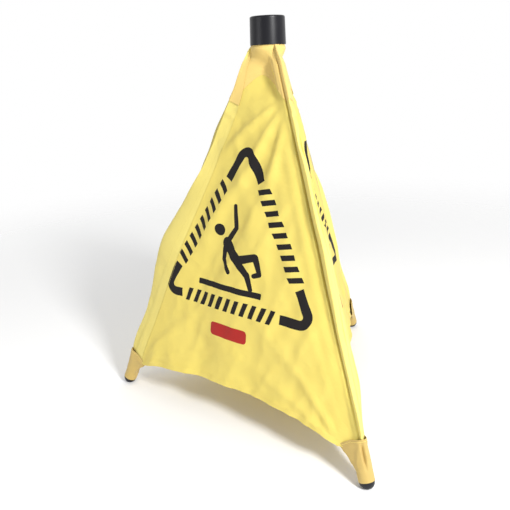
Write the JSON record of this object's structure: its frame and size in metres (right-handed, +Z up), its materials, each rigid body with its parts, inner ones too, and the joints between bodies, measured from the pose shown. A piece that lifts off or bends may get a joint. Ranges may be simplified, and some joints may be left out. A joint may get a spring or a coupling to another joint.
{
  "type": "wet floor sign",
  "caption": "Collapsible three-sided fabric floor warning cone on a sprung folding tripod, with a round cap, arched hems and rubber feet.",
  "frame": {"origin": "on the floor, on the tripod's axis, midway between the three feet", "axes": "+Z up along the cone's axis, -Y towards the front panel, +X to the right seen from the front"},
  "size_m": [0.6246, 0.5449, 0.762],
  "materials": {
    "black_plastic": "satin moulded",
    "hub_plastic": "matte moulded",
    "steel": "zinc plated",
    "tube_aluminium": "drawn",
    "foot_rubber": "matte",
    "fabric_panel": "thin woven nylon",
    "fabric_sleeve": "thin woven nylon",
    "fabric_reinforced": "double woven nylon"
  },
  "bodies": {
    "head": {"cap": "black_plastic", "hub": "hub_plastic", "cap_screws": "steel", "clamp_ring": "hub_plastic", "collar": "fabric_reinforced", "panel_front": "fabric_panel", "panel_right": "fabric_panel", "panel_left": "fabric_panel", "leg_pin_front_right": "steel", "spring_front_right": "steel", "leg_pin_rear": "steel", "spring_rear": "steel", "leg_pin_front_left": "steel", "spring_front_left": "steel"},
    "leg_front_right": {"knuckle_front_right": "hub_plastic", "rivet_front_right": "steel", "leg_tube_front_right": "tube_aluminium", "foot_tip_front_right": "foot_rubber", "sleeve_front_right": "fabric_sleeve", "foot_pocket_front_right": "fabric_reinforced"},
    "leg_rear": {"knuckle_rear": "hub_plastic", "rivet_rear": "steel", "leg_tube_rear": "tube_aluminium", "foot_tip_rear": "foot_rubber", "sleeve_rear": "fabric_sleeve", "foot_pocket_rear": "fabric_reinforced"},
    "leg_front_left": {"knuckle_front_left": "hub_plastic", "rivet_front_left": "steel", "leg_tube_front_left": "tube_aluminium", "foot_tip_front_left": "foot_rubber", "sleeve_front_left": "fabric_sleeve", "foot_pocket_front_left": "fabric_reinforced"}
  },
  "joints": [
    {"name": "fold_front_right", "type": "hinge", "parent": "head", "child": "leg_front_right", "pos_m": [0.01212, -0.007, 0.73], "axis": [0.5, 0.866, 0], "range_deg": [0, 24], "stiffness_Nm_per_rad": 0.6, "springref_deg": -34.38, "deforming": ["spring_front_right", "panel_front", "panel_right", "collar"]},
    {"name": "fold_rear", "type": "hinge", "parent": "head", "child": "leg_rear", "pos_m": [0, 0.014, 0.73], "axis": [-1, 0, 0], "range_deg": [0, 24], "stiffness_Nm_per_rad": 0.6, "springref_deg": -34.38, "deforming": ["spring_rear", "panel_right", "panel_left", "collar"]},
    {"name": "fold_front_left", "type": "hinge", "parent": "head", "child": "leg_front_left", "pos_m": [-0.01212, -0.007, 0.73], "axis": [0.5, -0.866, 0], "range_deg": [0, 24], "stiffness_Nm_per_rad": 0.6, "springref_deg": -34.38, "deforming": ["spring_front_left", "panel_left", "panel_front", "collar"]}
  ],
  "couplings": [
    {"joint": "fold_rear", "follows": "fold_front_right", "ratio": 1},
    {"joint": "fold_front_left", "follows": "fold_front_right", "ratio": 1}
  ]
}
